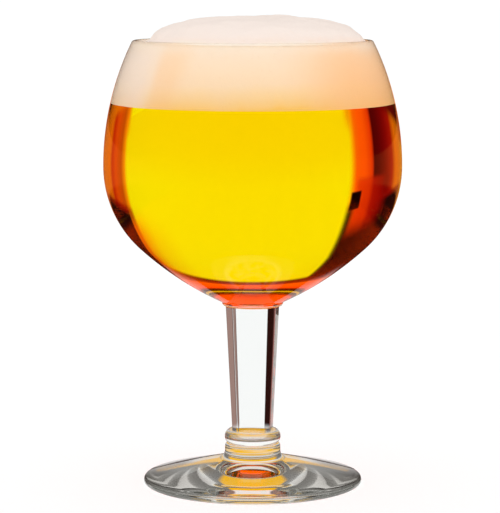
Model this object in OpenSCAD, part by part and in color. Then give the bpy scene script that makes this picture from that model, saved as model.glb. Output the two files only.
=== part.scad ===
// Stemmed chalice glass filled with beer: a round bowl, a square stem with cut corners,
// a collar ring, a low conical foot, the beer and its head of foam.
// Millimetres, +Z up. The origin is the middle of the foot's underside, on the table.

/* [Foot] */
// Diameter of the foot
foot_d = 74; // [64:0.5:90]
// Thickness of the foot's rounded edge
foot_edge_t = 2.2; // [1.6:0.1:3]
// Height of the foot from the table to the top of its boss
foot_h = 13.5; // [12.5:0.1:18]
// Height at which the foot's cone would meet the side of the boss
foot_cone_h = 8.6; // [6:0.1:9.2]
// Radius of the hollow curve between the cone and the boss
foot_fillet_r = 3; // [1:0.1:3.5]
// Diameter of the boss under the collar
boss_d = 18.8; // [17:0.1:24]
// Radius of the boss's rounded top edge
boss_edge_r = 1; // [0.3:0.1:1.2]
// Width of the flat ring that the foot rests on
rest_ring_w = 2.6; // [1.5:0.1:6]
// Rise of the hollow under the foot at its middle
hollow_rise = 2.6; // [1:0.1:4]

/* [Collar] */
// Largest diameter of the collar ring
collar_d = 19; // [17.5:0.1:25]
// Height of the collar ring
collar_h = 4.5; // [3:0.1:6]
// Diameter of the collar's flat top and underside
collar_seat_d = 16.4; // [16:0.1:17]

/* [Stem] */
// Height of the stem
stem_h = 42.4; // [30:0.1:70]
// Width of the stem across its flats at the top
stem_top_w = 16.9; // [14:0.1:18]
// Width of the stem across its flats at the collar
stem_foot_w = 12.9; // [10:0.1:13]
// Width cut off each corner at the top, measured along a side
stem_cut_w = 2.55; // [1.5:0.05:4]

/* [Bowl] */
// Largest outer diameter of the bowl
bowl_d = 100; // [94:0.5:110]
// Outer diameter at the rim
rim_d = 80; // [70:0.5:88]
// Height from the widest point up to the rim
rim_rise = 42.1; // [36:0.1:55]
// Radius of the shoulder curve below the widest point
shoulder_r = 37; // [34:0.5:40]
// Degrees that the shoulder turns through
shoulder_turn = 47.5; // [44:0.5:50]
// Radius of the long curve from the shoulder to the neck
base_r = 110; // [100:1:130]
// Wall thickness
wall = 2.2; // [1.4:0.1:3]
// Thickness of the bowl's bottom, from the neck's seat to the inner floor
bottom_t = 5; // [4:0.1:8]
// Diameter of the neck on the stem
neck_d = 20.6; // [20.2:0.1:24]
// Height of the neck below the bowl's curve
neck_h = 1.3; // [0.6:0.1:3]

/* [Drink] */
// Depth of the beer's surface below the rim
head_room = 21.2; // [12:0.1:32]
// Height of the foam's crest above the rim
foam_crest = 8.8; // [3:0.1:14]
// Gap left between the drink and the glass
fill_gap = 0.1; // [0.05:0.01:0.3]

/* [Hidden] */
$fn = 128;

// Counts and powers, not lengths
arc_steps = 22;
dome_steps = 26;
foam_side_power = 2 / 3.1;
foam_top_power = 1;

glass_colour = [0.86, 0.93, 0.92, 0.4];
bowl_colour = [0.9, 0.95, 0.94, 0.25];
beer_colour = [1, 0.82, 0.05, 0.9];
foam_colour = [1, 0.93, 0.82];

// Heights of the seats, from the table up
collar_z = foot_h;
stem_z = collar_z + collar_h;
bowl_z = stem_z + stem_h;

// Points of an arc about c, without its first point, from angle a to angle b
function arc(c, r, a, b) =
    [for (i = [1 : arc_steps]) let (t = a + (b - a) * i / arc_steps) c + r * [cos(t), sin(t)]];

// Foot: the cone runs from the boss and touches the round edge
foot_r = foot_d / 2;
boss_r = boss_d / 2;
edge_r = foot_edge_t / 2;
edge_c = [foot_r - edge_r, edge_r];
cone_run = edge_c - [boss_r, foot_cone_h];
cone_slope = atan2(cone_run[1], cone_run[0]) + asin(edge_r / norm(cone_run));
fillet_c = [boss_r, foot_cone_h] + foot_fillet_r * [1, tan(cone_slope) + 1 / cos(cone_slope)];
hollow_r = edge_c[0] - rest_ring_w;
hollow_arc_r = (hollow_r * hollow_r + hollow_rise * hollow_rise) / (2 * hollow_rise);
hollow_turn = asin(hollow_r / hollow_arc_r);

// Collar: its side is one arc through the two seats and the widest point
collar_seat_r = collar_seat_d / 2;
collar_bulge = collar_d / 2 - collar_seat_r;
collar_arc_r = (collar_h * collar_h / 4 + collar_bulge * collar_bulge) / (2 * collar_bulge);
collar_turn = asin(collar_h / 2 / collar_arc_r);

// Bowl: the outer wall is three arcs that run into each other, from the rim to the neck
bowl_r = bowl_d / 2;
rim_in = bowl_r - rim_d / 2;
upper_r = (rim_rise * rim_rise + rim_in * rim_in) / (2 * rim_in);
neck_r = neck_d / 2;
base_start_r = bowl_r - shoulder_r + shoulder_r * cos(shoulder_turn);
base_c_r = base_start_r - base_r * cos(shoulder_turn);
base_turn = acos((neck_r - base_c_r) / base_r);
base_c_z = bowl_z + neck_h + base_r * sin(base_turn);
belly_z = base_c_z + (shoulder_r - base_r) * sin(shoulder_turn);
rim_z = belly_z + rim_rise;
base_c = [base_c_r, base_c_z];
shoulder_c = [bowl_r - shoulder_r, belly_z];
upper_c = [bowl_r - upper_r, belly_z];
lip_r = wall / 2;
lip_turn = asin((rim_rise - lip_r) / (upper_r - lip_r));
lip_c = upper_c + (upper_r - lip_r) * [cos(lip_turn), sin(lip_turn)];

// Inner floor: one arc about the axis that runs into the inner side of the base curve
floor_z = bowl_z + bottom_t;
floor_drop = floor_z + base_r - wall - base_c_z;
floor_reach = (base_c_r * base_c_r + floor_drop * floor_drop) / (2 * floor_drop);
floor_r = base_r - wall - floor_reach;
floor_turn = acos(-base_c_r / floor_reach);
floor_c = [0, floor_z + floor_r];

// Angle on the inner upper wall, drawn in by gap, at height z
function upper_turn(gap, z) = asin((z - belly_z) / (upper_r - wall - gap));

// Points of the inner wall drawn in by gap, from the floor's middle up to height z
function inner_wall(gap, z) = concat(
    [[0, floor_z + gap]],
    arc(floor_c, floor_r - gap, -90, -floor_turn),
    arc(base_c, base_r - wall - gap, -floor_turn, -shoulder_turn),
    arc(shoulder_c, shoulder_r - wall - gap, -shoulder_turn, 0),
    arc(upper_c, upper_r - wall - gap, 0, upper_turn(gap, z)));

beer_z = rim_z - head_room;

// Foam: the crest is a rounded dome that starts inside the lip
foam_turn = upper_turn(fill_gap, lip_c[1]);
foam_side_r = upper_r - wall - fill_gap;
foam_dome_r = upper_c[0] + foam_side_r * cos(foam_turn);
foam_dome_h = rim_z + foam_crest - lip_c[1];

module foot() {
    color(glass_colour)
        rotate_extrude()
            polygon(concat(
                [[0, hollow_rise], [0, foot_h], [boss_r - boss_edge_r, foot_h]],
                arc([boss_r - boss_edge_r, foot_h - boss_edge_r], boss_edge_r, 90, 0),
                [[boss_r, fillet_c[1]]],
                arc(fillet_c, foot_fillet_r, 180, 270 + cone_slope),
                [edge_c + edge_r * [-sin(cone_slope), cos(cone_slope)]],
                arc(edge_c, edge_r, 90 + cone_slope, -90),
                [[hollow_r, 0]],
                arc([0, hollow_rise - hollow_arc_r], hollow_arc_r, 90 - hollow_turn, 90)));
}

module collar() {
    color(glass_colour)
        translate([0, 0, collar_z])
            rotate_extrude()
                polygon(concat(
                    [[0, collar_h], [0, 0], [collar_seat_r, 0]],
                    arc([collar_d / 2 - collar_arc_r, collar_h / 2], collar_arc_r,
                        -collar_turn, collar_turn)));
}

// Square with its corners cut, w across the flats
module cut_square(w, cut) {
    h = w / 2;
    k = h - cut;
    polygon([[h, -k], [h, k], [k, h], [-k, h], [-h, k], [-h, -k], [-k, -h], [k, -h]]);
}

module stem() {
    color(glass_colour)
        translate([0, 0, bowl_z])
            mirror([0, 0, 1])
                linear_extrude(height = stem_h, scale = stem_foot_w / stem_top_w)
                    cut_square(stem_top_w, stem_cut_w);
}

module bowl() {
    inner = inner_wall(0, lip_c[1] - lip_r * sin(lip_turn));
    color(bowl_colour)
        rotate_extrude()
            polygon(concat(
                inner,
                arc(lip_c, lip_r, 180 + lip_turn, lip_turn),
                arc(upper_c, upper_r, lip_turn, 0),
                arc(shoulder_c, shoulder_r, 0, -shoulder_turn),
                arc(base_c, base_r, -shoulder_turn, -base_turn),
                [[neck_r, bowl_z], [0, bowl_z]]));
}

module beer() {
    color(beer_colour)
        rotate_extrude()
            polygon(concat(inner_wall(fill_gap, beer_z), [[0, beer_z]]));
}

module foam_head() {
    start_turn = upper_turn(fill_gap, beer_z);
    color(foam_colour)
        rotate_extrude()
            polygon(concat(
                [[0, beer_z], upper_c + foam_side_r * [cos(start_turn), sin(start_turn)]],
                arc(upper_c, foam_side_r, start_turn, foam_turn),
                [for (i = [1 : dome_steps]) let (t = 90 * i / dome_steps)
                    [foam_dome_r * pow(cos(t), foam_side_power),
                     lip_c[1] + foam_dome_h * pow(sin(t), foam_top_power)]]));
}

foot();
collar();
stem();
bowl();
beer();
foam_head();
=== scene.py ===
"""Looks of the chalice beer glass: clear glass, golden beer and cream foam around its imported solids."""
import logging
import math
from collections.abc import Callable
from dataclasses import dataclass
from enum import Enum

import bpy
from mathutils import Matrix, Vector


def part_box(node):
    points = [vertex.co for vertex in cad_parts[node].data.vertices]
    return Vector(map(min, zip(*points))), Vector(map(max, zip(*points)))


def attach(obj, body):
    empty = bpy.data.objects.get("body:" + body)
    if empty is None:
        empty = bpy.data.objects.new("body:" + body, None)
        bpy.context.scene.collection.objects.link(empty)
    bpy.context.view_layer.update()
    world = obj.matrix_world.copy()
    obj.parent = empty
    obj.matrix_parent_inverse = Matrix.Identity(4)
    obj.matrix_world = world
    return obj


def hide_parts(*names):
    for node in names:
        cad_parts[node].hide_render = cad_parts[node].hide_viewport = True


Material = bpy.types.Material
Piece = bpy.types.Object

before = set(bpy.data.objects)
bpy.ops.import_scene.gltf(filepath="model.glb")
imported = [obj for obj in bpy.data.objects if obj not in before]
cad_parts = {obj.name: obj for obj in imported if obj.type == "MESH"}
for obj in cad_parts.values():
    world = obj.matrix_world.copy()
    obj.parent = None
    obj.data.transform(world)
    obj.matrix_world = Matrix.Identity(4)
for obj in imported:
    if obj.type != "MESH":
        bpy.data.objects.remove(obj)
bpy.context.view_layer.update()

log = logging.getLogger("chalice")
MM = 0.001
SAME_PLACE = 0.001 * MM
ROOT = "root"
GLASS_IOR = 1.5
BEER_IOR = 1.34


class Slot(Enum):
    """Material slots of the record, one named with each piece; nothing reads them."""

    BOWL = "bowl_glass"
    PRESSED = "pressed_glass"
    BEER = "beer"
    FOAM = "foam"


class Signal:
    """A shader socket that takes part in Python arithmetic and adds the Math nodes for it."""

    def __init__(self, shade: "Shade", socket: bpy.types.NodeSocket) -> None:
        """Keeps the socket and the material it belongs to."""
        self.shade = shade
        self.socket = socket

    def _math(self, operation: str, *others: "Signal | float") -> "Signal":
        """Result of one Math node, whose further inputs are the others."""
        values = {i: v for i, v in enumerate((self, *others))}
        return self.shade.add("ShaderNodeMath", {"operation": operation}, values)

    def __add__(self, other: "Signal | float") -> "Signal":
        """Sum."""
        return self._math("ADD", other)

    __radd__ = __add__

    def __mul__(self, other: "Signal | float") -> "Signal":
        """Product."""
        return self._math("MULTIPLY", other)

    __rmul__ = __mul__

    def __sub__(self, other: "Signal | float") -> "Signal":
        """Difference."""
        return self._math("SUBTRACT", other)

    def __rsub__(self, other: float) -> "Signal":
        """Difference from a number."""
        return self._math("MULTIPLY", -1.0) + other

    def __truediv__(self, other: "Signal | float") -> "Signal":
        """Quotient."""
        return self._math("DIVIDE", other)

    def __pow__(self, power: float) -> "Signal":
        """Power."""
        return self._math("POWER", power)

    def bearing(self, other: "Signal") -> "Signal":
        """Angle in radians whose sine and cosine are as this signal and the other."""
        return self._math("ARCTAN2", other)

    def smooth(self, low: float, high: float) -> "Signal":
        """Smooth step from 0 where this signal is at low to 1 where it is at high."""
        values = {"Value": self, "From Min": low, "From Max": high}
        return self.shade.add("ShaderNodeMapRange", {"interpolation_type": "SMOOTHSTEP"}, values)

    def band(self, rise: tuple, fall: tuple) -> "Signal":
        """1 in a band whose two soft edges lie between the values of rise and of fall."""
        return self.smooth(*rise) * (1 - self.smooth(*fall))

    def clamp(self) -> "Signal":
        """This signal held between 0 and 1."""
        return self.shade.add("ShaderNodeClamp", {}, {"Value": self})


class Shade:
    """Builds one material's node tree."""

    def __init__(self, name: str) -> None:
        """Starts an empty material.

        Args:
            name: The material's name.
        """
        self.material = bpy.data.materials.new(name)
        self.material.use_nodes = True
        self.tree = self.material.node_tree
        self.tree.nodes.clear()
        self.output = self.tree.nodes.new("ShaderNodeOutputMaterial")

    @classmethod
    def over(cls, tree: bpy.types.NodeTree) -> "Shade":
        """Starts afresh in the world's own node tree."""
        shade = cls.__new__(cls)
        shade.material, shade.tree = None, tree
        tree.nodes.clear()
        shade.output = tree.nodes.new("ShaderNodeOutputWorld")
        return shade

    def add(self, kind: str, settings: dict, values: dict, out: "int | str" = 0) -> Signal:
        """Adds a node.

        Args:
            kind: The node's type.
            settings: Its properties, set first; "stops" gives a colour ramp's stops.
            values: Its sockets' values or links, by name or index.
            out: The output that is wanted.

        Returns:
            The wanted output.
        """
        node = self.tree.nodes.new(kind)
        for key, value in settings.items():
            if key == "stops":
                ramp = node.color_ramp.elements
                while len(ramp) < len(value):
                    ramp.new(1.0)
                for element, (place, colour) in zip(ramp, value):
                    element.position = place
                    element.color = colour if len(colour) == 4 else (*colour, 1.0)
            else:
                setattr(node, key, value)
        for key, value in values.items():
            socket = self._input(node, key)
            if isinstance(value, Signal):
                self.tree.links.new(value.socket, socket)
            elif isinstance(value, tuple) and len(value) == 3 and socket.type == "RGBA":
                socket.default_value = (*value, 1.0)
            else:
                socket.default_value = value
        return Signal(self, node.outputs[out])

    @staticmethod
    def _input(node: bpy.types.Node, key: "int | str") -> bpy.types.NodeSocket:
        """An enabled input of the node, by name or index."""
        if isinstance(key, int):
            return node.inputs[key]
        return next(s for s in node.inputs if s.name == key and s.enabled)

    def ray(self, name: str) -> Signal:
        """One output of the Light Path node."""
        return self.add("ShaderNodeLightPath", {}, {}, name)

    def direct(self) -> Signal:
        """1 for rays that no rough surface has scattered."""
        return 1 - self.ray("Diffuse Depth").clamp()

    def drink(self) -> Signal:
        """1 for rays that have been through the drink, whose way leads through more surfaces."""
        return self.ray("Transmission Depth").smooth(4.0, 6.0)

    def outer(self) -> Signal:
        """1 for rays that an outside surface has mirrored."""
        return (self.ray("Is Glossy Ray") - self.ray("Is Transmission Ray")).clamp() * self.direct()

    def place(self) -> Signal:
        """The point in the object's own coordinates."""
        return self.add("ShaderNodeTexCoord", {}, {}, "Object")

    def axis(self, letter: str) -> Signal:
        """One coordinate of the point, in metres."""
        return self.add("ShaderNodeSeparateXYZ", {}, {"Vector": self.place()}, letter)

    def noise(self, scale: float, detail: float = 2.0, stretch: tuple = (1.0, 1.0, 1.0)) -> Signal:
        """Noise over the object's coordinates, in cells per metre, with a factor on each axis."""
        moved = self.add("ShaderNodeMapping", {}, {"Vector": self.place(), "Scale": stretch})
        return self.add("ShaderNodeTexNoise", {}, {"Vector": moved, "Scale": scale, "Detail": detail})

    def cells(self, scale: float) -> Signal:
        """Distance from the middles of cells, so many per metre."""
        return self.add("ShaderNodeTexVoronoi", {}, {"Vector": self.place(), "Scale": scale}, "Distance")

    def ramp(self, stops: tuple, factor: Signal, out: "int | str" = 0) -> Signal:
        """A colour ramp's colour, or its alpha."""
        return self.add("ShaderNodeValToRGB", {"stops": stops}, {"Fac": factor}, out)

    def mix(self, factor: "Signal | float", first: "Signal | tuple", second: "Signal | tuple") -> Signal:
        """Colour between two others."""
        node = self.tree.nodes.new("ShaderNodeMix")
        node.data_type = "RGBA"
        sockets = [s for s in node.inputs if s.enabled]
        for socket, value in zip(sockets, (factor, first, second)):
            if isinstance(value, Signal):
                self.tree.links.new(value.socket, socket)
            else:
                socket.default_value = value if isinstance(value, float) else (*value, 1.0)
        return Signal(self, next(s for s in node.outputs if s.enabled))

    def bump(self, height: Signal, strength: float, distance: float) -> Signal:
        """A normal bent by a height signal."""
        values = {"Height": height, "Strength": strength, "Distance": distance}
        return self.add("ShaderNodeBump", {}, values)

    def dye(self, absorbs: tuple) -> Signal:
        """A volume that takes away the given shares of red, green and blue per metre."""
        density = max(absorbs)
        clear = tuple(1.0 - a / density for a in absorbs)
        return self.add("ShaderNodeVolumeAbsorption", {}, {"Color": clear, "Density": density})

    def finish(self, surface: Signal, volume: "Signal | None" = None) -> Material:
        """Links the output and returns the material."""
        self.tree.links.new(surface.socket, self.output.inputs["Surface"])
        if volume is not None:
            self.tree.links.new(volume.socket, self.output.inputs["Volume"])
        return self.material


@dataclass(frozen=True)
class GlassFinish:
    """Clear soda-lime glass; a lower shine suits faces that beer or other glass touches."""

    name: str
    tint: tuple = (0.985, 0.995, 0.99)
    shine: float = 0.5
    ripple: float = 0.12
    ior: float = GLASS_IOR
    absorbs: "tuple | None" = None
    ripple_scale: float = 38.0
    ripple_depth: float = 0.4 * MM
    speck_scale: float = 420.0
    speck_shade: float = 0.99
    most_rough: float = 0.015

    def build(self) -> Material:
        """Makes the material."""
        shade = Shade(self.name)
        ripple = shade.noise(self.ripple_scale, 2.0, (1.0, 1.0, 0.45))
        speck = shade.noise(self.speck_scale, 3.0)
        specked = tuple(self.speck_shade * c for c in self.tint)
        colour = shade.mix(speck.smooth(0.35, 0.75), self.tint, specked)
        surface = shade.add("ShaderNodeBsdfPrincipled", {}, {
            "Base Color": colour,
            "Roughness": speck.smooth(0.6, 0.9) * self.most_rough,
            "IOR": self.ior,
            "Transmission Weight": 1.0,
            "Specular Tint": (self.shine, self.shine, self.shine, 1.0),
            "Normal": shade.bump(ripple, self.ripple, self.ripple_depth),
        })
        return shade.finish(surface, shade.dye(self.absorbs) if self.absorbs else None)


@dataclass(frozen=True)
class BeerFinish:
    """Clear golden beer that deepens with the way light takes through it.

    The bowl's wetted faces bend the light between glass and beer, so the beer's own faces don't.
    """

    name: str = "golden_beer"
    ior: float = 1.0
    absorbs: tuple = (0.12, 3.45, 120.0)
    clear: tuple = (1.0, 1.0, 1.0)
    hazy: tuple = (1.0, 0.99, 0.97)
    haze_scale: float = 70.0

    def build(self) -> Material:
        """Makes the material."""
        shade = Shade(self.name)
        haze = shade.noise(self.haze_scale, 3.0)
        colour = shade.mix(haze.smooth(0.3, 0.8), self.clear, self.hazy)
        surface = shade.add("ShaderNodeBsdfPrincipled", {}, {
            "Base Color": colour,
            "Roughness": 0.0,
            "IOR": self.ior,
            "Transmission Weight": 1.0,
            "Specular Tint": (0.0, 0.0, 0.0, 1.0),
        })
        return shade.finish(surface, shade.dye(self.absorbs))


@dataclass(frozen=True)
class FoamFinish:
    """Dense cream foam, orange at the beer and paler above the rim, with fine bubbles, painted warm stripes
    of light and a faint painted glow.
    """

    name: str
    line_z: float
    crest_z: float
    inner_light: float = 0.12
    painted_streak_lean: float = 0.35
    cloud_scale: float = 55.0
    cloud_lift: float = 6.0 * MM
    sway_scale: float = 30.0
    sway: float = 12.0 * MM
    fine_bubbles: float = 1300.0
    coarse_bubbles: float = 420.0
    bubble_depth: float = 0.4 * MM
    pale: tuple = (0.945, 0.855, 0.785)
    golden: tuple = (1.0, 0.66, 0.34)
    grade: tuple = (
        (0.0, (1.0, 0.70, 0.18)),
        (0.04, (1.0, 0.74, 0.30)),
        (0.11, (0.99, 0.775, 0.42)),
        (0.27, (0.985, 0.83, 0.637)),
        (0.55, (0.985, 0.862, 0.715)),
        (0.67, (0.985, 0.88, 0.75)),
        (0.72, (0.95, 0.82, 0.745)),
        (1.0, (0.95, 0.835, 0.765)),
    )
    lit: tuple = (
        (0.0, (1.0, 0.62, 0.16)),
        (0.12, (0.78, 0.55, 0.28)),
        (0.30, (0.42, 0.33, 0.23)),
        (0.62, (0.30, 0.25, 0.20)),
        (1.0, (0.50, 0.44, 0.40)),
    )

    def build(self) -> Material:
        """Makes the material."""
        shade = Shade(self.name)
        cloud = shade.noise(self.cloud_scale, 3.0, (1.0, 1.0, 0.5))
        height = shade.axis("Z") + (cloud - 0.5) * self.cloud_lift
        span = self.crest_z - self.line_z
        share = (height - self.line_z) / span
        body = shade.ramp(self.grade, share)
        fine = shade.cells(self.fine_bubbles)
        film = shade.cells(self.coarse_bubbles).smooth(0.0, 0.22)
        sway = shade.noise(self.sway_scale, 2.0, (1.0, 1.0, 0.1)) - 0.5
        x = shade.axis("X") + sway * self.sway
        low = 1 - share.smooth(0.5, 0.72)
        lean = (height - self.line_z) * self.painted_streak_lean
        inward, outward = x - lean, x + lean
        # Painted light: warm golden stripes, leaning with height, at the left and over the right side below
        # the rim, standing for beer-coloured light through the glass. The foam is also made paler towards
        # the left below the rim.
        left = inward.band((-0.032, -0.028), (-0.026, -0.019))
        body = shade.mix((1 - inward.smooth(-0.037, -0.025)) * low * 0.8, body, self.pale)
        painted_warm_streak = (left * 0.34 + outward.smooth(0.017, 0.040) * (0.9 - share * 0.6)) * low
        # Golden tone: a little at random over the bubble film, plus the painted warm stripes.
        warm = shade.mix((1 - film) * 0.10 + painted_warm_streak, body, self.golden)
        # Painted light: a faint glow, orange at the beer, dimmest in the middle and a little paler at the
        # crest.
        light = shade.ramp(self.lit, share)
        surface = shade.add("ShaderNodeBsdfPrincipled", {}, {
            "Base Color": warm,
            "Roughness": 0.5 + fine * 0.3,
            "Emission Color": light,
            "Emission Strength": self.inner_light,
            "Normal": shade.bump(fine * 0.4 + film * 0.6, 0.25, self.bubble_depth),
        })
        return shade.finish(surface)


@dataclass(frozen=True)
class GlowFinish:
    """Underside of the foam, painted as a glow of orange light into the beer, fading to near black at the
    wall.
    """

    name: str
    reach: float
    middle: tuple = (1.0, 0.10, 0.008)
    edge: tuple = (0.05, 0.002, 0.001)
    edge_starts: float = 0.86
    edge_full: float = 0.97
    bubbles: float = 500.0

    def build(self) -> Material:
        """Makes the material."""
        shade = Shade(self.name)
        x, y = shade.axis("X"), shade.axis("Y")
        away = (x * x + y * y) ** 0.5
        # Painted light: bright orange glow in the middle, near black towards the wall.
        edge = away.smooth(self.reach * self.edge_starts, self.reach * self.edge_full)
        colour = shade.mix(edge, self.middle, self.edge)
        surface = shade.add("ShaderNodeBsdfPrincipled", {}, {
            "Base Color": colour,
            "Roughness": 0.6 + shade.cells(self.bubbles) * 0.3,
            "Emission Color": colour,
            "Emission Strength": 1.0,
        })
        return shade.finish(surface)


class Rays(Enum):
    """Rays that see a card: those through the drink, or mirrored inside the base or at an outside."""

    DRINK = "drink"
    INNER = "inner"
    OUTER = "outer"


@dataclass(frozen=True)
class FlagFinish:
    """Soft-edged colours of a studio card, over its width and height.

    Those over the height cover the others as far as their alpha goes. Fade gives the heights
    between which the card sets in, and sheer its cover and the heights between which that ends.
    """

    name: str
    middle: float
    half: float
    heights: tuple
    stops: tuple
    rise: tuple
    sheer: "tuple | None" = None
    fade: "tuple | None" = None
    rays: Rays = Rays.DRINK

    def build(self) -> Material:
        """Makes the material."""
        shade = Shade(self.name)
        turn = {"Vector": shade.place(), "Rotation": (0.0, 0.0, self.middle)}
        turned = shade.add("ShaderNodeMapping", {}, turn)
        x = shade.add("ShaderNodeSeparateXYZ", {}, {"Vector": turned}, "X")
        y = shade.add("ShaderNodeSeparateXYZ", {}, {"Vector": turned}, "Y")
        share = (x.bearing(y) / self.half + 1) * 0.5
        cover = shade.ramp(self.stops, share, "Alpha")
        height = shade.axis("Z")
        level = (height - self.heights[0]) / (self.heights[1] - self.heights[0])
        depth = shade.ramp(self.rise, level, "Alpha")
        colour = shade.mix(depth, shade.ramp(self.stops, share), shade.ramp(self.rise, level))
        if self.sheer is not None:
            most, low, high = self.sheer
            cover = cover * (1 - height.smooth(low, high)) * most
        if self.fade is not None:
            cover = cover * height.smooth(*self.fade)
        if self.rays is Rays.DRINK:
            cover = cover * shade.direct() * shade.drink()
        elif self.rays is Rays.INNER:
            cover = cover * shade.direct() * shade.ray("Glossy Depth").clamp() * (1 - shade.drink())
        else:
            cover = cover * shade.outer()
        glow = shade.add("ShaderNodeEmission", {}, {"Color": colour, "Strength": 1.0})
        clear = shade.add("ShaderNodeBsdfTransparent", {}, {})
        surface = shade.add("ShaderNodeMixShader", {}, {0: cover, 1: clear, 2: glow})
        return shade.finish(surface)


class Bench:
    """Edit-mode work on one mesh at a time."""

    @staticmethod
    def rest() -> None:
        """Leaves edit mode and deselects everything."""
        if bpy.context.object is not None and bpy.context.object.mode != "OBJECT":
            bpy.ops.object.mode_set(mode="OBJECT")
        bpy.ops.object.select_all(action="DESELECT")

    @staticmethod
    def outline(name: str, points: list) -> Piece:
        """Draws a chain of edges, point by point, and stays in edit mode.

        Args:
            name: The piece's name.
            points: The chain's points.

        Returns:
            The piece, all selected.
        """
        Bench.rest()
        bpy.ops.mesh.primitive_plane_add(size=MM, location=(0.0, 0.0, 0.0))
        piece = bpy.context.object
        piece.name = piece.data.name = name
        piece.data.vertices[0].co = points[0]
        Bench.pick_points(piece, lambda p: (p - points[0]).length > SAME_PLACE)
        bpy.ops.object.mode_set(mode="EDIT")
        bpy.ops.mesh.delete(type="VERT")
        bpy.ops.mesh.select_all(action="SELECT")
        for last, point in zip(points, points[1:]):
            bpy.ops.mesh.extrude_vertices_move(TRANSFORM_OT_translate={"value": point - last})
        bpy.ops.mesh.select_all(action="SELECT")
        return piece

    @staticmethod
    def lathe(name: str, outline: list, steps: int) -> Piece:
        """Turns an outline about the Z axis into a closed piece.

        Args:
            name: The piece's name.
            outline: Radius and height of each point, in metres.
            steps: Facets round the axis.

        Returns:
            The piece, with its normals outward.
        """
        piece = Bench.outline(name, [Vector((radius, 0.0, height)) for radius, height in outline])
        bpy.ops.mesh.spin(steps=steps, angle=math.tau, center=(0.0, 0.0, 0.0), axis=(0.0, 0.0, 1.0))
        bpy.ops.mesh.select_all(action="SELECT")
        bpy.ops.mesh.remove_doubles(threshold=SAME_PLACE)
        bpy.ops.mesh.normals_make_consistent(inside=False)
        Bench.rest()
        return piece

    @staticmethod
    def _drop_picks(kind: str) -> None:
        """Deselects all, picks by points or edges from here on, and leaves edit mode."""
        bpy.ops.object.mode_set(mode="EDIT")
        bpy.ops.mesh.select_mode(type=kind)
        bpy.ops.mesh.select_all(action="DESELECT")
        bpy.ops.object.mode_set(mode="OBJECT")

    @staticmethod
    def pick_points(piece: Piece, wanted: Callable) -> None:
        """Selects the points of a piece that a test wants, and leaves it in object mode."""
        Bench._drop_picks("VERT")
        for vertex in piece.data.vertices:
            vertex.select = wanted(vertex.co)

    @staticmethod
    def pick_edges(piece: Piece, wanted: Callable) -> None:
        """Selects the edges whose two ends a test wants, and leaves the piece in object mode."""
        Bench._drop_picks("EDGE")
        points = piece.data.vertices
        for edge in piece.data.edges:
            edge.select = wanted(*(points[i].co for i in edge.vertices))

    @staticmethod
    def soften(piece: Piece, degrees: float) -> None:
        """Shades the piece smooth, apart from edges sharper than the angle."""
        Bench.rest()
        piece.select_set(True)
        bpy.context.view_layer.objects.active = piece
        bpy.ops.object.shade_smooth_by_angle(angle=math.radians(degrees))
        Bench.rest()


def arc(centre: tuple, radius: float, start: float, end: float, steps: int) -> list:
    """Radius and height of an arc's points, but its first; angles are in degrees from outward up."""
    turns = [math.radians(start + (end - start) * i / steps) for i in range(1, steps + 1)]
    return [(centre[0] + radius * math.cos(t), centre[1] + radius * math.sin(t)) for t in turns]


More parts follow.
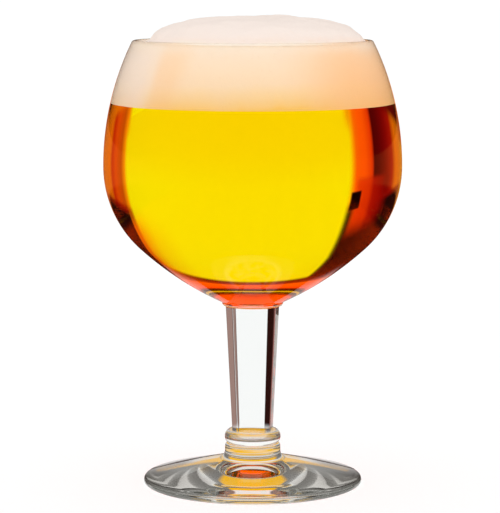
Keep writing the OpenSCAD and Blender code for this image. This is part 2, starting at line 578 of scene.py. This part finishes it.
@dataclass
class Bowl:
    """The bowl: three outer arcs, a rounded lip, and an inner wall with a rounded floor."""

    shoulder_radius: float = 37.0 * MM
    shoulder_turn: float = 47.5
    base_radius: float = 110.0 * MM
    rim_diameter: float = 80.0 * MM
    wall: float = 2.2 * MM
    bottom: float = 5.0 * MM
    neck_radius: float = 10.3 * MM
    neck_height: float = 1.3 * MM
    neck_round: float = 1.0 * MM
    crease: float = 35.0
    steps: int = 256

    def __post_init__(self) -> None:
        """Works out the arcs' centres from the solid's box."""
        low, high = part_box("bowl")
        self.radius = high.x
        self.foot_z, self.rim_z = low.z, high.z
        turn = math.radians(self.shoulder_turn)
        start = self.radius - self.shoulder_radius * (1.0 - math.cos(turn))
        base_r = start - self.base_radius * math.cos(turn)
        self.base_turn = math.degrees(math.acos((self.neck_radius - base_r) / self.base_radius))
        base_z = self.foot_z + self.neck_height + self.base_radius * math.sin(math.radians(self.base_turn))
        self.belly_z = base_z + (self.shoulder_radius - self.base_radius) * math.sin(turn)
        rise, inset = self.rim_z - self.belly_z, self.radius - self.rim_diameter / 2
        self.upper_radius = (rise ** 2 + inset ** 2) / (2 * inset)
        self.base_c = (base_r, base_z)
        self.shoulder_c = (self.radius - self.shoulder_radius, self.belly_z)
        self.upper_c = (self.radius - self.upper_radius, self.belly_z)
        self.lip = self.wall / 2
        self.lip_turn = math.degrees(math.asin((rise - self.lip) / (self.upper_radius - self.lip)))
        self.floor_z = self.foot_z + self.bottom
        drop = self.floor_z + self.base_radius - self.wall - base_z
        reach = (base_r ** 2 + drop ** 2) / (2 * drop)
        self.floor_radius = self.base_radius - self.wall - reach
        self.floor_turn = math.degrees(math.acos(-base_r / reach))
        self.floor_c = (0.0, self.floor_z + self.floor_radius)

    def inner_wall(self, gap: float, turn: float) -> list:
        """Points of the inner wall, drawn in by gap, from the floor's middle up.

        Args:
            gap: Distance inside the wall; a negative one lies in the glass.
            turn: Angle in degrees on the upper arc at which the points end.

        Returns:
            Radius and height of each point.
        """
        points = [(0.0, self.floor_z + gap)]
        points += arc(self.floor_c, self.floor_radius - gap, -90.0, -self.floor_turn, 28)
        base = self.base_radius - self.wall - gap
        points += arc(self.base_c, base, -self.floor_turn, -self.shoulder_turn, 8)
        points += arc(self.shoulder_c, self.shoulder_radius - self.wall - gap, -self.shoulder_turn, 0.0, 24)
        points += arc(self.upper_c, self.upper_radius - self.wall - gap, 0.0, turn, 26)
        return points

    def upper_turn(self, gap: float, height: float) -> float:
        """Angle in degrees on the inner upper wall, drawn in by gap, at a height."""
        return math.degrees(math.asin((height - self.belly_z) / (self.upper_radius - self.wall - gap)))

    def build(self, dry: Material, wet: Material) -> Piece:
        """Makes the bowl.

        Args:
            dry: Finish of the faces in air.
            wet: Finish of the faces that the drink wets.

        Returns:
            The bowl.
        """
        lip_t = math.radians(self.lip_turn)
        reach = self.upper_radius - self.lip
        lip_c = (self.upper_c[0] + reach * math.cos(lip_t), self.upper_c[1] + reach * math.sin(lip_t))
        self.lip_c = lip_c
        points = self.inner_wall(0.0, self.lip_turn)
        points += arc(lip_c, self.lip, 180.0 + self.lip_turn, self.lip_turn, 12)
        points += arc(self.upper_c, self.upper_radius, self.lip_turn, 0.0, 26)
        points += arc(self.shoulder_c, self.shoulder_radius, 0.0, -self.shoulder_turn, 24)
        points += arc(self.base_c, self.base_radius, -self.shoulder_turn, -self.base_turn, 14)
        round_c = (self.neck_radius - self.neck_round, self.foot_z + self.neck_round)
        points += arc(round_c, self.neck_round, 0.0, -90.0, 8) + [(0.0, self.foot_z)]
        piece = Bench.lathe("bowl_glass", points, self.steps)
        piece.data.materials.append(dry)
        piece.data.materials.append(wet)
        middle = Vector((0.0, 0.0, self.belly_z))
        for face in piece.data.polygons:
            inward = face.normal.dot(face.center - middle) < 0.0
            face.material_index = 1 if inward and face.center.z < lip_c[1] else 0
        Bench.soften(piece, self.crease)
        return piece


@dataclass
class PressedBase:
    """The pressed glass below the bowl: stem, collar ring and foot."""

    glass: Material
    stem_top: float = 16.9 * MM
    stem_foot: float = 12.9 * MM
    corner_cut: float = 2.55 * MM
    edge_round: float = 0.4 * MM
    seam: float = 0.05 * MM
    collar_seat: float = 8.2 * MM
    boss_radius: float = 9.4 * MM
    boss_edge: float = 1.0 * MM
    cone_height: float = 8.6 * MM
    fillet: float = 3.0 * MM
    edge: float = 1.1 * MM
    rest_ring: float = 2.6 * MM
    hollow_rise: float = 2.6 * MM
    crease: float = 30.0
    steps: int = 192

    def stem(self) -> Piece:
        """Makes the stem: a square bar, corners cut, tapered, its long edges softened.

        Returns:
            The stem.
        """
        low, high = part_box("stem")
        bottom, top = low.z - self.seam, high.z + self.seam
        Bench.rest()
        middle = (0.0, 0.0, (bottom + top) / 2)
        size = (self.stem_top, self.stem_top, top - bottom)
        bpy.ops.mesh.primitive_cube_add(size=1.0, location=middle, scale=size)
        piece = bpy.context.object
        piece.name = piece.data.name = "stem_glass"
        bpy.ops.object.transform_apply(location=True, rotation=True, scale=True)
        Bench.pick_edges(piece, lambda a, b: abs(a.z - b.z) > self.stem_top)
        bpy.ops.object.mode_set(mode="EDIT")
        bpy.ops.mesh.bevel(offset=self.corner_cut, offset_type="OFFSET", segments=1)
        Bench.pick_points(piece, lambda p: p.z < middle[2])
        bpy.ops.object.mode_set(mode="EDIT")
        share = self.stem_foot / self.stem_top
        bpy.ops.transform.resize(value=(share, share, 1.0), center_override=(0.0, 0.0, bottom))
        Bench.pick_edges(piece, lambda a, b: abs(a.z - b.z) > self.stem_top)
        bpy.ops.object.mode_set(mode="EDIT")
        bpy.ops.mesh.bevel(offset=self.edge_round, offset_type="OFFSET", segments=4)
        Bench.rest()
        piece.data.materials.append(self.glass)
        Bench.soften(piece, self.crease)
        return piece

    def collar(self) -> Piece:
        """Makes the collar ring.

        Returns:
            The ring.
        """
        low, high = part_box("collar")
        half, bulge = (high.z - low.z) / 2, high.x - self.collar_seat
        radius = (half ** 2 + bulge ** 2) / (2 * bulge)
        turn = math.degrees(math.asin(half / radius))
        centre = (high.x - radius, low.z + half)
        points = [(0.0, low.z - self.seam), (self.collar_seat, low.z - self.seam), (self.collar_seat, low.z)]
        points += arc(centre, radius, -turn, turn, 20)
        points += [(self.collar_seat, high.z), (0.0, high.z)]
        piece = Bench.lathe("collar_ring", points, self.steps)
        piece.data.materials.append(self.glass)
        Bench.soften(piece, self.crease)
        return piece

    def foot(self) -> Piece:
        """Makes the foot: boss, hollow curve, cone, rounded edge, rest ring and hollow underside.

        Returns:
            The foot.
        """
        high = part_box("foot")[1]
        edge_c = (high.x - self.edge, self.edge)
        run = (edge_c[0] - self.boss_radius, edge_c[1] - self.cone_height)
        slope = math.atan2(run[1], run[0]) + math.asin(self.edge / math.hypot(*run))
        lift = self.fillet * (math.tan(slope) + 1.0 / math.cos(slope))
        fillet_c = (self.boss_radius + self.fillet, self.cone_height + lift)
        hollow = edge_c[0] - self.rest_ring
        hollow_arc = (hollow ** 2 + self.hollow_rise ** 2) / (2 * self.hollow_rise)
        turn = math.degrees(math.asin(hollow / hollow_arc))
        degrees = math.degrees(slope)
        shelf = self.boss_radius - self.boss_edge
        points = [(0.0, high.z), (shelf, high.z)]
        points += arc((shelf, high.z - self.boss_edge), self.boss_edge, 90.0, 0.0, 8)
        points += [(self.boss_radius, fillet_c[1])]
        points += arc(fillet_c, self.fillet, 180.0, 270.0 + degrees, 12)
        points += arc(edge_c, self.edge, 90.0 + degrees, -90.0, 16)
        points += [(hollow, 0.0)]
        points += arc((0.0, self.hollow_rise - hollow_arc), hollow_arc, 90.0 - turn, 90.0, 20)
        piece = Bench.lathe("foot_glass", points[::-1], self.steps)
        piece.data.materials.append(self.glass)
        Bench.soften(piece, self.crease)
        return piece


@dataclass
class Drink:
    """The beer and its head of foam, which wet the bowl's inner wall."""

    bowl: Bowl
    wet: float = 0.06 * MM
    foam_gap: float = -0.06 * MM
    foam_power: float = 2 / 3.1
    dome_rings: int = 30
    draw_in: float = 0.042
    lean: float = 1.7 * MM
    step_up: float = 0.16
    lump_sizes: tuple = ((11.0 * MM, 1.5 * MM), (3.2 * MM, 0.35 * MM))
    lump_blend: float = 2.0 * MM
    downward: float = -0.9
    crease: float = 35.0
    steps: int = 224

    def beer(self, finish: Material) -> Piece:
        """Makes the beer.

        Args:
            finish: Its material.

        Returns:
            The beer.
        """
        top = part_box("beer")[1].z
        points = self.bowl.inner_wall(-self.wet, self.bowl.upper_turn(-self.wet, top)) + [(0.0, top)]
        piece = Bench.lathe("beer", points, self.steps)
        piece.data.materials.append(finish)
        Bench.soften(piece, self.crease)
        return piece

    def foam(self, finish: Material, under: Material) -> Piece:
        """Makes the foam head.

        Args:
            finish: Its material.
            under: Material of the side that lies on the beer, which glows with painted light.

        Returns:
            The foam.
        """
        low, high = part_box("foam_head")
        bowl, gap = self.bowl, self.foam_gap
        start, end = bowl.upper_turn(gap, low.z - self.wet), bowl.upper_turn(gap, bowl.lip_c[1])
        radius = bowl.upper_radius - bowl.wall - gap
        side = bowl.upper_c[0] + radius * math.cos(math.radians(end))
        first = math.radians(start)
        points = [(0.0, low.z - self.wet)]
        points += [(bowl.upper_c[0] + radius * math.cos(first), bowl.upper_c[1] + radius * math.sin(first))]
        points += arc(bowl.upper_c, radius, start, end, 24)
        rise = high.z - bowl.lip_c[1]
        for i in range(1, self.dome_rings + 1):
            turn = math.pi / 2 * i / self.dome_rings
            ring = 0.0 if i == self.dome_rings else side * math.cos(turn) ** self.foam_power
            points.append((ring, bowl.lip_c[1] + rise * math.sin(turn)))
        piece = Bench.lathe("foam_head", points, self.steps)
        self._push(piece, bowl.lip_c[1], rise)
        self._lump(piece, bowl.lip_c[1])
        piece.data.materials.append(finish)
        piece.data.materials.append(under)
        for face in piece.data.polygons:
            below = face.normal.z < self.downward and face.center.z < low.z
            face.material_index = 1 if below else 0
        Bench.soften(piece, self.crease)
        return piece

    def _push(self, piece: Piece, lip_z: float, rise: float) -> None:
        """Draws the dome in and leans it to the right, ring by ring.

        Args:
            piece: The foam.
            lip_z: Height at which the dome starts.
            rise: The dome's height.
        """
        levels = sorted({round(p.co.z, 7) for p in piece.data.vertices if p.co.z > lip_z + SAME_PLACE})
        for level in levels:
            share = (level - lip_z) / rise
            Bench.pick_points(piece, lambda p: abs(p.z - level) < SAME_PLACE)
            bpy.ops.object.mode_set(mode="EDIT")
            narrow = 1.0 - self.draw_in * min(1.0, share / self.step_up)
            bpy.ops.transform.resize(value=(narrow, narrow, 1.0), center_override=(0.0, 0.0, level))
            bpy.ops.transform.translate(value=(self.lean * min(1.0, share / self.step_up), 0.0, 0.0))
            bpy.ops.object.mode_set(mode="OBJECT")
        Bench.rest()

    def _lump(self, piece: Piece, lip_z: float) -> None:
        """Sinks soft lumps into the dome, coarse ones and then fine ones.

        Args:
            piece: The foam.
            lip_z: Height above which it is lumpy.
        """
        area = "dome"
        group = piece.vertex_groups.new(name=area)
        for vertex in piece.data.vertices:
            share = (vertex.co.z - lip_z) / self.lump_blend
            if share > 0.0:
                group.add([vertex.index], min(1.0, share), "REPLACE")
        bpy.context.view_layer.objects.active = piece
        for i, (size, depth) in enumerate(self.lump_sizes):
            clouds = bpy.data.textures.new(f"foam_lumps_{i + 1}", "CLOUDS")
            clouds.noise_scale = size
            clouds.noise_depth = 1
            sink = piece.modifiers.new(clouds.name, "DISPLACE")
            sink.texture, sink.texture_coords = clouds, "LOCAL"
            sink.strength, sink.mid_level = depth, 1.0
            sink.vertex_group = area
            bpy.ops.object.modifier_apply(modifier=sink.name)


@dataclass
class Surroundings:
    """What the glass sees round it: white through it, and dim once a face has mirrored the ray."""

    white: tuple = (1.0, 1.0, 1.0)
    room: tuple = (0.045, 0.008, 0.004)
    hall: tuple = (0.20, 0.185, 0.175)
    cellar: tuple = (0.03, 0.002, 0.0)

    def seen(self, shade: Shade, plain: "Signal | tuple", inside: "Signal | tuple",
             outside: "Signal | tuple") -> Signal:
        """Sorts the rays by the way that they came.

        Args:
            shade: The node tree to add to.
            plain: What shows without a reflection.
            inside: What shows after one inside the glass, unless the way led through the beer.
            outside: What shows after one at the outside.

        Returns:
            The colour for every kind of ray.
        """
        dim = shade.mix(shade.drink(), inside, self.cellar)
        inner = shade.mix(shade.ray("Glossy Depth").clamp() * shade.direct(), plain, dim)
        return shade.mix(shade.outer(), inner, outside)

    def world(self) -> None:
        """Adds the white world."""
        world = bpy.data.worlds.new("white_studio")
        world.use_nodes = True
        bpy.context.scene.world = world
        shade = Shade.over(world.node_tree)
        colour = self.seen(shade, self.white, self.hall, self.room)
        background = shade.add("ShaderNodeBackground", {}, {"Color": colour, "Strength": 1.0})
        shade.finish(background)


@dataclass
class Floor:
    """Pale floor, on which rays through the glass see soft zones of colour, among them painted amber light
    and painted shade under the foot.

    A pair holds the two radii in metres, or bearings in degrees clockwise from straight behind
    the glass, between which a soft edge runs.
    """

    around: Surroundings
    size: float = 60.0
    drop: float = 0.2 * MM
    paint: tuple = (0.5, 0.5, 0.5)
    light: tuple = (0.520, 0.541, 0.546)
    amber: tuple = (1.0, 0.52, 0.0)
    # Painted amber light under the foot: the radii where it ends, and how patchy it is.
    light_pool_edge: tuple = (0.018, 0.024)
    light_pool_patches: float = 0.45
    # Painted grey shade round the foot, darker to the sides.
    painted_shade_veil: tuple = ((0.020, 0.026), (0.039, 0.046))
    painted_shade_sides: tuple = (0.006, 0.026)
    painted_shade_middle: tuple = (0.74, 0.68, 0.66)
    shadow: tuple = (0.15, 0.135, 0.125)
    # Painted contact shadow: a thin dark ring at the foot's rim, and its colour.
    painted_contact_shadow: tuple = ((0.0355, 0.0362), (0.0368, 0.0374))
    contact_shadow_colour: tuple = (0.03, 0.025, 0.025)
    foot_edge: tuple = (0.036, 0.05)
    stem_ring: tuple = ((0.13, 0.16), (1.0, 1.3))
    beer_ring: tuple = ((0.32, 0.40), (0.6, 0.8))
    orange: tuple = (1.0, 0.24, 0.02)
    wine: tuple = (0.14, 0.001, 0.0)
    red: tuple = (0.90, 0.07, 0.01)
    dusk: tuple = (0.70, 0.17, 0.035)
    dusk_starts: tuple = (0.50, 0.62)
    near: tuple = (0.92, 0.90, 0.88)
    near_edge: tuple = (0.048, 0.062)
    near_reach: tuple = (0.035, 0.05)

    def __post_init__(self) -> None:
        """Starts the material, with a point's distance from the axis and its bearing."""
        self.shade = Shade("pale_floor")
        self.x, y = self.shade.axis("X"), self.shade.axis("Y")
        self.away = (self.x * self.x + y * y) ** 0.5
        self.turn = self.x.bearing(y) * math.degrees(1.0)

    def build(self) -> None:
        """Adds the floor, with the light that the beer gathers under the foot."""
        Bench.rest()
        bpy.ops.mesh.primitive_plane_add(size=self.size, location=(0.0, 0.0, -self.drop))
        floor = bpy.context.object
        floor.name = "floor"
        shade = self.shade
        diffuse = shade.add("ShaderNodeBsdfDiffuse", {}, {"Color": self.paint})
        glow = shade.add("ShaderNodeEmission", {}, {"Color": self.light, "Strength": 1.0})
        plain = shade.add("ShaderNodeAddShader", {}, {0: diffuse, 1: glow})
        under = self._under_foot()
        inside = shade.mix(self.away.smooth(*self.foot_edge), under, self.around.hall)
        colour = self.around.seen(shade, self._beside(under), inside, self._mirrored())
        through = shade.add("ShaderNodeEmission", {}, {"Color": colour, "Strength": 1.0})
        factors = {0: shade.ray("Is Glossy Ray") * shade.direct(), 1: plain, 2: through}
        surface = shade.add("ShaderNodeMixShader", {}, factors)
        floor.data.materials.append(shade.finish(surface))

    def _under_foot(self) -> Signal:
        """Adds painted amber light in patches under the foot, painted grey shade round it and a painted
        contact shadow at the rim.

        Returns:
            The colour, white further out.
        """
        shade, away = self.shade, self.away
        # Painted light: patchy amber where the beer's light gathers under the foot.
        patches = shade.noise(140.0, 2.0).smooth(0.35, 0.6)
        painted_light_pool = (1 - away.smooth(*self.light_pool_edge)) * (1.0 - self.light_pool_patches + patches * self.light_pool_patches)
        # Painted shade: grey round the foot, darker to the sides.
        painted_shade_colour = shade.mix(((self.x * self.x) ** 0.5).smooth(*self.painted_shade_sides), self.painted_shade_middle, self.shadow)
        seen = shade.mix(away.band(*self.painted_shade_veil), self.around.white, painted_shade_colour)
        seen = shade.mix(painted_light_pool, seen, self.amber)
        # Painted contact shadow: a thin dark ring at the rim.
        return shade.mix(away.band(*self.painted_contact_shadow), seen, self.contact_shadow_colour)

    def _beside(self, seen: Signal) -> Signal:
        """Adds the zones that show in the stem's sides and those that carry on the side flags.

        Args:
            seen: The colour so far.

        Returns:
            The colour with them.
        """
        shade, away, turn = self.shade, self.away, self.turn
        ring = away.band(*self.stem_ring) * (1 - shade.drink())
        pale = shade.mix(turn.smooth(11.0, 17.0), (0.15, 0.07, 0.055), (0.36, 0.23, 0.20))
        seen = shade.mix(ring * turn.band((3.0, 7.0), (55.0, 62.0)), seen, pale)
        dark = shade.mix(turn.smooth(-37.0, -33.0), (0.38, 0.15, 0.13), (0.02, 0.002, 0.001))
        seen = shade.mix(ring * turn.band((-74.0, -66.0), (-24.0, -20.0)), seen, dark)
        ring = away.band(*self.beer_ring) * shade.drink()
        seen = shade.mix(ring * turn.smooth(21.5, 24.5), seen, self.orange)
        red = shade.mix(turn.smooth(-33.0, -30.5), self.wine, self.red)
        return shade.mix(ring * (1 - turn.smooth(-25.0, -22.5)), seen, red)

    def _mirrored(self) -> Signal:
        """Adds what outside faces mirror: dim, but light close to the foot and dusky far off.

        Returns:
            The colour.
        """
        shade, away = self.shade, self.away
        dim = shade.mix(away.smooth(*self.dusk_starts), self.around.room, self.dusk)
        short = 1 - shade.ray("Ray Length").smooth(*self.near_reach)
        return shade.mix((1 - away.smooth(*self.near_edge)) * short, dim, self.near)


@dataclass
class Flags:
    """Studio cards, bent round the axis, whose colours show in the beer and the foot.

    A stop is a bearing as on the floor, or a height, with its colour and its cover.
    """

    night: tuple = (0.006, 0.0003, 0.0003)
    wine: tuple = (0.30, 0.002, 0.002)
    red: tuple = (0.78, 0.05, 0.012)
    low_sun: tuple = (1.0, 0.18, 0.0)
    ember: tuple = (1.0, 0.17, 0.0)
    dusk: tuple = (0.03, 0.001, 0.0005)
    warm: tuple = (1.0, 0.60, 0.0)
    amber: tuple = (1.0, 0.50, 0.0)
    pale: tuple = (0.90, 0.84, 0.82)
    grey: tuple = (0.60, 0.585, 0.575)
    ground_fade: tuple = (0.0, 0.02)
    steps: int = 48

    def add(self, name: str, away: float, across: tuple, up: tuple, **finish: object) -> None:
        """Adds one card, which only the glass sees.

        Args:
            name: Its name.
            away: Distance from the axis.
            across: Stops over its width.
            up: Stops over its height.
            finish: Other fields of its finish.
        """
        first, last = (math.radians(across[i][0]) for i in (0, -1))
        low, high = up[0][0], up[-1][0]
        side = Vector((math.sin(first), math.cos(first), 0.0)) * away
        card = Bench.outline(name, [side + Vector((0.0, 0.0, low)), side + Vector((0.0, 0.0, high))])
        bpy.ops.mesh.spin(steps=self.steps, angle=last - first, center=(0.0, 0.0, 0.0), axis=(0.0, 0.0, 1.0))
        Bench.rest()
        finish["middle"], finish["half"] = (first + last) / 2, (last - first) / 2
        finish["heights"] = (low, high)
        finish["stops"] = tuple(((math.radians(b) - first) / (last - first), colour) for b, colour in across)
        finish["rise"] = tuple(((z - low) / (high - low), colour) for z, colour in up)
        card.data.materials.append(FlagFinish(name, **finish).build())
        card.visible_camera = card.visible_diffuse = card.visible_shadow = False
        card.visible_glossy = finish.get("rays") is Rays.OUTER

    @staticmethod
    def between(low: float, high: float, colour: tuple) -> tuple:
        """Stops over a height that leave the colours over the width as they are."""
        return (low, (*colour, 0.0)), (high, (*colour, 0.0))

    @staticmethod
    def patch(colour: tuple, *bearings: float) -> tuple:
        """Four stops of one colour, which comes in between the first two and goes after the third."""
        return tuple((b, (*colour, cover)) for b, cover in zip(bearings, (0.0, 1.0, 1.0, 0.0)))

    def nightfall(self, *heights: float) -> tuple:
        """Stops over the height that cover with wine red and then black, at three heights."""
        colours = ((*self.wine, 0.0), (*self.wine, 0.0), (*self.wine, 0.9), (*self.night, 1.0))
        return (*zip((0.0, *heights), colours), (0.4, colours[-1]))

    def build(self) -> None:
        """Adds the cards at the beer's left and right, high round it, behind it and for the foot."""
        self._left()
        self._right()
        self._high()
        self._low()

    def _left(self) -> None:
        """Adds the cards that bring the right side's bands, which the beer turns over."""
        self.add("left_flag", 0.45, (
            (-70.0, (1.0, 0.3, 0.05, 0.0)), (-60.0, (1.0, 0.3, 0.05, 1.0)),
            (-51.0, (0.95, 0.22, 0.02, 1.0)), (-46.0, (0.45, 0.008, 0.002, 1.0)),
            (-41.0, (0.26, 0.001, 0.0, 1.0)), (-37.5, (0.16, 0.0, 0.0, 1.0)), (-34.5, (0.1, 0.0, 0.0, 1.0)),
            (-32.1, (0.08, 0.0, 0.0, 1.0)), (-30.8, (0.8, 0.045, 0.014, 1.0)),
            (-28.0, (1.0, 0.11, 0.012, 1.0)), (-24.8, (1.0, 0.13, 0.002, 1.0)),
            (-23.9, (1.0, 0.34, 0.005, 0.9)), (-22.6, (1.0, 0.75, 0.02, 0.0)),
        ), self.nightfall(0.137, 0.148, 0.162), fade=self.ground_fade)
        self.add("red_card", 0.44, (
            (-44.0, (0.2, 0.001, 0.0, 0.0)), (-37.0, (0.36, 0.003, 0.001, 0.8)),
            (-32.0, (0.45, 0.008, 0.002, 1.0)), (-30.0, (0.72, 0.035, 0.006, 1.0)),
            (-26.0, (*self.red, 1.0)), (-24.4, (1.0, 0.13, 0.0, 0.0)),
        ), self.between(0.08, 0.24, self.red), sheer=(0.95, 0.170, 0.235), fade=(0.092, 0.106))
        gap = self.patch(self.night, -27.1, -26.6, -23.9, -23.4)
        up = self.between(0.1, 0.17, self.night)
        self.add("dark_card", 0.43, gap, up, sheer=(1.0, 0.151, 0.155), fade=(0.118, 0.122))

    def _right(self) -> None:
        """Adds the cards that bring the left side's bands."""
        self.add("right_flag", 0.45, (
            (21.0, (1.0, 0.8, 0.05, 0.0)), (22.9, (1.0, 0.28, 0.0, 0.9)), (25.3, (0.6, 0.1, 0.0, 1.0)),
            (30.3, (0.85, 0.09, 0.01, 1.0)), (34.5, (0.66, 0.03, 0.004, 1.0)),
            (38.0, (1.0, 0.22, 0.02, 1.0)), (46.0, (1.0, 0.25, 0.03, 1.0)),
            (60.0, (1.0, 0.32, 0.06, 1.0)), (70.0, (1.0, 0.32, 0.06, 0.0)),
        ), self.nightfall(0.165, 0.18, 0.2), fade=self.ground_fade)
        self.add("sunset_card", 0.435, (
            (7.0, (*self.low_sun, 0.0)), (15.0, (*self.low_sun, 0.22)),
            (20.0, (*self.low_sun, 0.62)), (24.5, (*self.low_sun, 0.95)),
        ), self.between(0.14, 0.45, self.low_sun), fade=(0.15, 0.24))

    def _high(self) -> None:
        """Adds the high card all round, which shows at the beer's bottom, and the warm one behind."""
        all_round = ((-180.0, (*self.ember, 1.0)), (180.0, (*self.ember, 1.0)))
        self.add("high_flag", 0.45, all_round, (
            (0.32, (*self.dusk, 1.0)), (0.44, (*self.dusk, 1.0)),
            (0.5, (*self.ember, 1.0)), (1.1, (*self.ember, 1.0)),
        ), fade=(0.36, 0.40))
        behind = self.patch(self.warm, -26.0, -22.0, 20.0, 24.0)
        self.add("warm_card", 0.44, behind, self.between(0.03, 0.12, self.warm), sheer=(0.30, 0.04, 0.11))

    def _low(self) -> None:
        """Adds the cards that the foot mirrors, inside and at its outside."""
        self.add("amber_card", 0.25, self.patch(self.amber, -32.0, -27.0, 14.0, 19.0), (
            (0.02, (*self.amber, 0.0)), (0.10, (*self.amber, 0.0)),
            (0.118, (*self.pale, 1.0)), (0.42, (*self.pale, 1.0)),
        ), fade=(0.026, 0.034), rays=Rays.INNER)
        behind = self.patch(self.grey, -46.0, -36.0, 23.0, 33.0)
        self.add("back_card", 0.08, behind, self.between(0.0, 0.045, self.grey), rays=Rays.OUTER)


@dataclass
class Studio:
    """Pale floor, soft light and a camera where the photograph was taken from."""

    azimuth: float = 6.5
    distance: float = 780.0 * MM
    height: float = 171.8 * MM
    aim_z: float = 77.0 * MM
    aim_left: float = 0.9 * MM
    lens: float = 163.8
    nearest: float = 0.01
    furthest: float = 200.0

    def camera(self) -> None:
        """Adds the camera."""
        turn = math.radians(self.azimuth)
        away = Vector((math.sin(turn), -math.cos(turn), 0.0))
        right = Vector((math.cos(turn), math.sin(turn), 0.0))
        place = away * self.distance + Vector((0.0, 0.0, self.height))
        aim = Vector((0.0, 0.0, self.aim_z)) - right * self.aim_left
        bpy.ops.object.camera_add(location=place)
        camera = bpy.context.object
        camera.name = "camera"
        camera.rotation_euler = (aim - place).to_track_quat("-Z", "Y").to_euler()
        camera.data.lens = self.lens
        camera.data.clip_start = self.nearest
        camera.data.clip_end = self.furthest
        bpy.context.scene.camera = camera

    def light_paths(self) -> None:
        """Lets light bounce often enough inside the thick glass, and filters none of it."""
        cycles = bpy.context.scene.cycles
        cycles.max_bounces = 32
        cycles.glossy_bounces = 24
        cycles.transmission_bounces = 32
        cycles.diffuse_bounces = 16
        cycles.blur_glossy = 0.0

    def build(self) -> None:
        """Adds floor, cards, world and camera."""
        around = Surroundings()
        self.light_paths()
        Floor(around).build()
        Flags().build()
        around.world()
        self.camera()


def place(piece: Piece, slot: Slot, *nodes: str) -> None:
    """Puts a finished piece on the object's body, in place of its solids."""
    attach(piece, ROOT)
    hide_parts(*nodes)
    log.info("%s: %d faces, for %s", piece.name, len(piece.data.polygons), ", ".join(nodes))


def main() -> None:
    """Builds the glass, the drink and the studio."""
    logging.basicConfig(level=logging.INFO, format="%(name)s %(message)s")
    bpy.context.scene.view_settings.view_transform = "Standard"
    clear = GlassFinish("clear_glass", (0.998, 0.999, 0.998), shine=0.02).build()
    wetted = GlassFinish("wetted_glass", (0.999, 0.999, 0.998), 1.0, 0.0, GLASS_IOR / BEER_IOR).build()
    pressed = GlassFinish("pressed_glass", absorbs=(1.3, 0.6, 1.0)).build()
    base = PressedBase(pressed)
    place(base.foot(), Slot.PRESSED, "foot")
    place(base.collar(), Slot.PRESSED, "collar")
    place(base.stem(), Slot.PRESSED, "stem")
    bowl = Bowl()
    place(bowl.build(clear, wetted), Slot.BOWL, "bowl")
    drink = Drink(bowl)
    place(drink.beer(BeerFinish().build()), Slot.BEER, "beer")
    foam_low, foam_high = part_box("foam_head")
    cream = FoamFinish("cream_foam", foam_low.z, foam_high.z).build()
    glow = GlowFinish("foam_underside_painted_glow", foam_high.x).build()
    place(drink.foam(cream, glow), Slot.FOAM, "foam_head")
    Studio().build()


if __name__ == "__main__":
    main()
